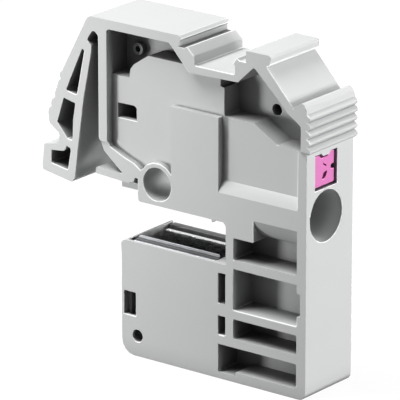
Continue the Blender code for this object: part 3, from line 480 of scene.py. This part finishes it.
class TERMINAL_OT_housing(bpy.types.Operator):
    """Finish the moulded housing and its rear cover"""

    bl_idname = "terminal_block.housing"
    bl_label = "Housing and cover"

    def execute(self, context):
        looks = context.scene.block_finish
        # Matt pale grey with hardly any shine, on the housing and on its cover
        plastic = moulded_plastic("light_grey_polyamide", looks.housing_colour, roughness=0.56,
                                  cloud_contrast=0.012, grain_height=0.012 * MM)
        lid = moulded_plastic("rear_cover_polyamide", looks.cover_colour, roughness=0.58,
                              cloud_contrast=0.012, grain_height=0.012 * MM)
        housing = finished_copy("housing", "moulded_housing", plastic, looks.housing_edge,
                                BLOCK_BODY)
        cover = finished_copy("rear_cover", "moulded_rear_cover", lid, looks.housing_edge,
                              BLOCK_BODY)
        return {"FINISHED"}


class TERMINAL_OT_button(bpy.types.Operator):
    """Finish the pink release button"""

    bl_idname = "terminal_block.button"
    bl_label = "Release button"

    def execute(self, context):
        looks = context.scene.block_finish
        # Strong pink, a little glossier than the housing, with recesses only a little darkened by
        # painted shade
        plastic = moulded_plastic("pink_polyamide", looks.button_colour, roughness=0.45,
                                  cloud_contrast=0.02, grain_height=0.010 * MM,
                                  painted_recess_shade=PINK_RECESS_SHADE)
        button = finished_copy("push_button", "release_button", plastic, looks.button_edge,
                               BUTTON_BODY)
        return {"FINISHED"}


class TERMINAL_OT_contacts(bpy.types.Operator):
    """Finish the current bar, the contact leaf and the strips that press it"""

    bl_idname = "terminal_block.contacts"
    bl_label = "Contact metal"

    def execute(self, context):
        looks = context.scene.block_finish
        lip_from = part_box("contact_leaf")[1].z - LIP_DEPTH
        # Tin shines softly on the bar. The leaf's is duller, with a painted highlight on its lip,
        # and the strips behind it are darker steel
        tin = strip_metal("tinned_copper", looks.tin_colour, roughness=0.26,
                          line_stretch=LINES_ALONG_X)
        leaf_tin = strip_metal("tinned_contact_bronze", looks.leaf_colour, roughness=0.34,
                               line_stretch=LINES_ALONG_X, bright_from=lip_from)
        steel = strip_metal("contact_spring_steel", looks.steel_colour, roughness=0.32,
                            line_stretch=LINES_ALONG_Z)
        bar = finished_copy("current_bar", "tinned_current_bar", tin, looks.metal_edge, BLOCK_BODY)
        leaf = finished_copy("contact_leaf", "bent_contact_leaf", leaf_tin, looks.leaf_edge,
                             BLOCK_BODY)
        for side in ("left", "right"):
            spring = finished_copy(f"contact_spring_{side}", f"pressing_strip_{side}", steel, 0,
                                   BLOCK_BODY)
        return {"FINISHED"}


class TERMINAL_OT_clamp(bpy.types.Operator):
    """Finish the steel cage and the clamping spring"""

    bl_idname = "terminal_block.clamp"
    bl_label = "Clamp"

    def execute(self, context):
        looks = context.scene.block_finish
        # The spring's hardened steel is shinier than the bent steel of the cage
        steel = strip_metal("hardened_spring_steel", looks.steel_colour, roughness=0.28,
                            line_stretch=LINES_ALONG_Y)
        cage_steel = strip_metal("bent_cage_steel", looks.steel_colour, roughness=0.36,
                                 line_stretch=LINES_ALONG_Y)
        for node, name, material in (("clamping_spring", "wire_clamping_spring", steel),
                                     ("clamp_cage", "bent_clamp_cage", cage_steel)):
            piece = finished_copy(node, name, material, 0, BLOCK_BODY)
            if node == "clamping_spring":
                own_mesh(piece)
        return {"FINISHED"}


def place_lamp(name, power, size, direction, distance):
    """Hang a square area lamp in a direction from the block and turn it to the block."""
    light = bpy.data.lights.new(name, "AREA")
    light.shape = "SQUARE"
    light.size = size
    light.energy = power
    lamp = bpy.data.objects.new(name, light)
    centre = (HOUSING_LOW + HOUSING_HIGH) / 2
    towards = Vector(direction).normalized()
    lamp.location = centre + towards * distance
    lamp.rotation_euler = towards.to_track_quat("Z", "Y").to_euler()
    bpy.context.scene.collection.objects.link(lamp)


def place_camera():
    """Set up the photograph's camera from its azimuth, elevation, distance and lens."""
    data = bpy.data.cameras.new("photo_camera")
    data.lens = VIEW_LENS
    data.sensor_width = SENSOR_WIDTH
    data.clip_start = CLIP_START
    data.clip_end = CLIP_END
    camera = bpy.data.objects.new("photo_camera", data)
    back = Vector((math.sin(VIEW_AZIMUTH) * math.cos(VIEW_ELEVATION),
                   -math.cos(VIEW_AZIMUTH) * math.cos(VIEW_ELEVATION),
                   math.sin(VIEW_ELEVATION)))
    camera.location = VIEW_TARGET + back * VIEW_DISTANCE
    camera.rotation_euler = back.to_track_quat("Z", "Y").to_euler()
    bpy.context.scene.collection.objects.link(camera)
    bpy.context.scene.camera = camera


def place_floor(colour):
    """Lay the pale floor that the block stands on."""
    shape = bmesh.new()
    bmesh.ops.create_grid(shape, x_segments=1, y_segments=1, size=FLOOR_HALF)
    mesh = bpy.data.meshes.new("studio_floor")
    shape.to_mesh(mesh)
    shape.free()
    mesh.transform(Matrix.Translation((0, 0, HOUSING_LOW.z - FLOOR_GAP)))
    mesh.materials.append(studio_white("white_card", colour, FLOOR_GLOW))
    floor = bpy.data.objects.new("studio_floor", mesh)
    bpy.context.scene.collection.objects.link(floor)


def light_world(ambient):
    """Give even light all round, and a white backdrop where the camera or a reflection sees it."""
    world = bpy.data.worlds.new("studio_world")
    world.use_nodes = True
    tree = world.node_tree
    tree.nodes.clear()
    even = add_node(tree, "ShaderNodeBackground", {"Color": (1, 1, 1, 1), "Strength": ambient})
    white = add_node(tree, "ShaderNodeBackground", {"Color": (1, 1, 1, 1), "Strength": 1.0})
    mix = add_node(tree, "ShaderNodeMixShader",
                   links={0: seen_directly(tree), 1: even.outputs[0], 2: white.outputs[0]})
    add_node(tree, "ShaderNodeOutputWorld", links={"Surface": mix.outputs[0]})
    bpy.context.scene.world = world


class TERMINAL_OT_studio(bpy.types.Operator):
    """Set up the floor, the backdrop, the lamps and the photograph's camera"""

    bl_idname = "terminal_block.studio"
    bl_label = "Studio"

    def execute(self, context):
        lamps = context.scene.studio_light
        place_floor(lamps.floor_colour)
        light_world(lamps.ambient)
        for name, power, size, direction, distance in LAMPS:
            place_lamp(name, getattr(lamps, power), size, direction, distance)
        place_camera()
        context.scene.view_settings.view_transform = "Standard"
        return {"FINISHED"}


class TERMINAL_PT_finish(bpy.types.Panel):
    """Sidebar panel with the steps of the finish"""

    bl_idname = "TERMINAL_PT_finish"
    bl_label = "Terminal Block"
    bl_space_type = "VIEW_3D"
    bl_region_type = "UI"
    bl_category = "Terminal Block"

    def draw(self, context):
        layout = self.layout
        for step in STEPS:
            layout.operator(step.bl_idname)
        for group in (context.scene.block_finish, context.scene.studio_light):
            for name in group.__annotations__:
                layout.prop(group, name)


STEPS = (TERMINAL_OT_housing, TERMINAL_OT_button, TERMINAL_OT_contacts, TERMINAL_OT_clamp,
         TERMINAL_OT_studio)
CLASSES = (BlockFinish, StudioLight, *STEPS, TERMINAL_PT_finish)


def register():
    """Register the classes and hang the property groups on the scene."""
    for entry in CLASSES:
        bpy.utils.register_class(entry)
    bpy.types.Scene.block_finish = PointerProperty(type=BlockFinish)
    bpy.types.Scene.studio_light = PointerProperty(type=StudioLight)


def unregister():
    """Take the property groups and classes away again."""
    del bpy.types.Scene.studio_light
    del bpy.types.Scene.block_finish
    for entry in reversed(CLASSES):
        bpy.utils.unregister_class(entry)


def main():
    """Run every step in order."""
    register()
    bpy.ops.terminal_block.housing()
    bpy.ops.terminal_block.button()
    bpy.ops.terminal_block.contacts()
    bpy.ops.terminal_block.clamp()
    bpy.ops.terminal_block.studio()


if __name__ == "__main__":
    main()
